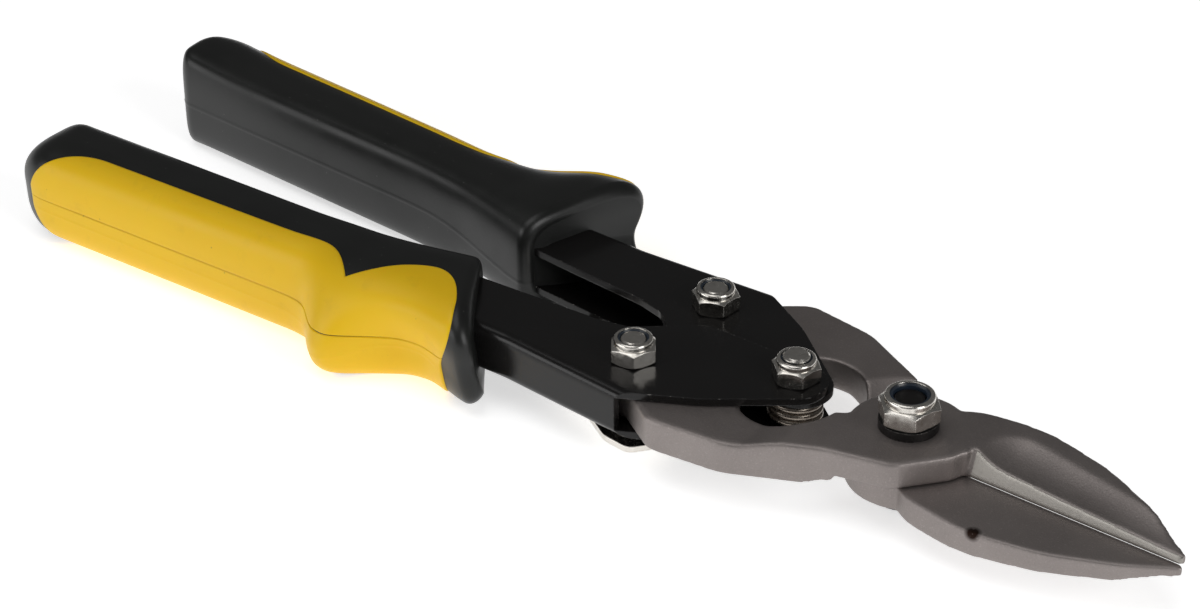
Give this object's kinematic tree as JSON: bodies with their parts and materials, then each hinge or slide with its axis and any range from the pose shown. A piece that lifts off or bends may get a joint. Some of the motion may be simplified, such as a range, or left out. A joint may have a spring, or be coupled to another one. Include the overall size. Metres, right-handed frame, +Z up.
{
  "type": "aviation snips",
  "caption": "Compound-leverage aviation snips, closed: curved forged shears on a bolt pivot, folded channel handles with two-colour moulded grips, return spring and swing latch.",
  "frame": {"origin": "under the middle of the whole tool, on the plane it lies on", "axes": "+X towards the blade tips, +Z up towards the locknuts, -Y the near handle"},
  "size_m": [0.2512, 0.0726, 0.0228],
  "materials": {
    "blade_steel": "sand-blasted drop forging with ground cutting edge",
    "black_paint": "glossy black paint on folded sheet steel",
    "grip_black": "satin moulded plastic",
    "grip_yellow": "satin soft pad",
    "nickel_plate": "nickel plated",
    "nylon": "dark nylon",
    "bolt_black": "blackened steel",
    "washer_black": "blackened steel",
    "spring_steel": "oiled spring wire"
  },
  "bodies": {
    "near_handle": {"near_channel": "black_paint", "near_grip_body": "grip_black", "near_grip_pad": "grip_yellow", "handle_bolt": "nickel_plate", "handle_nut": "nickel_plate", "handle_nut_insert": "nylon", "near_tang_bolt": "nickel_plate", "near_tang_nut": "nickel_plate", "near_tang_nut_insert": "nylon", "spring_sleeve": "spring_steel", "return_spring": "spring_steel", "latch_spacer": "nickel_plate"},
    "far_handle": {"far_channel": "black_paint", "far_grip_body": "grip_black", "far_grip_pad": "grip_yellow", "far_tang_bolt": "nickel_plate", "far_tang_nut": "nickel_plate", "far_tang_nut_insert": "nylon"},
    "near_blade": {"upper_blade": "blade_steel"},
    "far_blade": {"lower_blade": "blade_steel", "pivot_bolt": "bolt_black", "pivot_washer": "washer_black", "pivot_nut": "nickel_plate", "pivot_nut_insert": "nylon"},
    "latch": {"latch_plate": "nickel_plate"}
  },
  "joints": [
    {"name": "handle_open", "type": "hinge", "parent": "near_handle", "child": "far_handle", "pos_m": [0.04686, 0, 0.0107], "axis": [0, 0, -1], "range_deg": [0, 40], "deforming": ["return_spring"]},
    {"name": "near_blade_swing", "type": "hinge", "parent": "near_handle", "child": "near_blade", "pos_m": [0.01986, -0.0125, 0.0107], "axis": [0, 0, -1], "range_deg": [0, 10.2]},
    {"name": "far_blade_swing", "type": "hinge", "parent": "far_handle", "child": "far_blade", "pos_m": [0.01986, 0.0125, 0.0107], "axis": [0, 0, 1], "range_deg": [0, 10.2]},
    {"name": "latch_swing", "type": "hinge", "parent": "near_handle", "child": "latch", "pos_m": [0.01986, -0.0125, 0.0107], "axis": [0, 0, -1], "range_deg": [0, 60]}
  ],
  "couplings": [
    {"joint": "near_blade_swing", "follows": "handle_open", "ratio": 0.252},
    {"joint": "far_blade_swing", "follows": "handle_open", "ratio": 0.252}
  ]
}
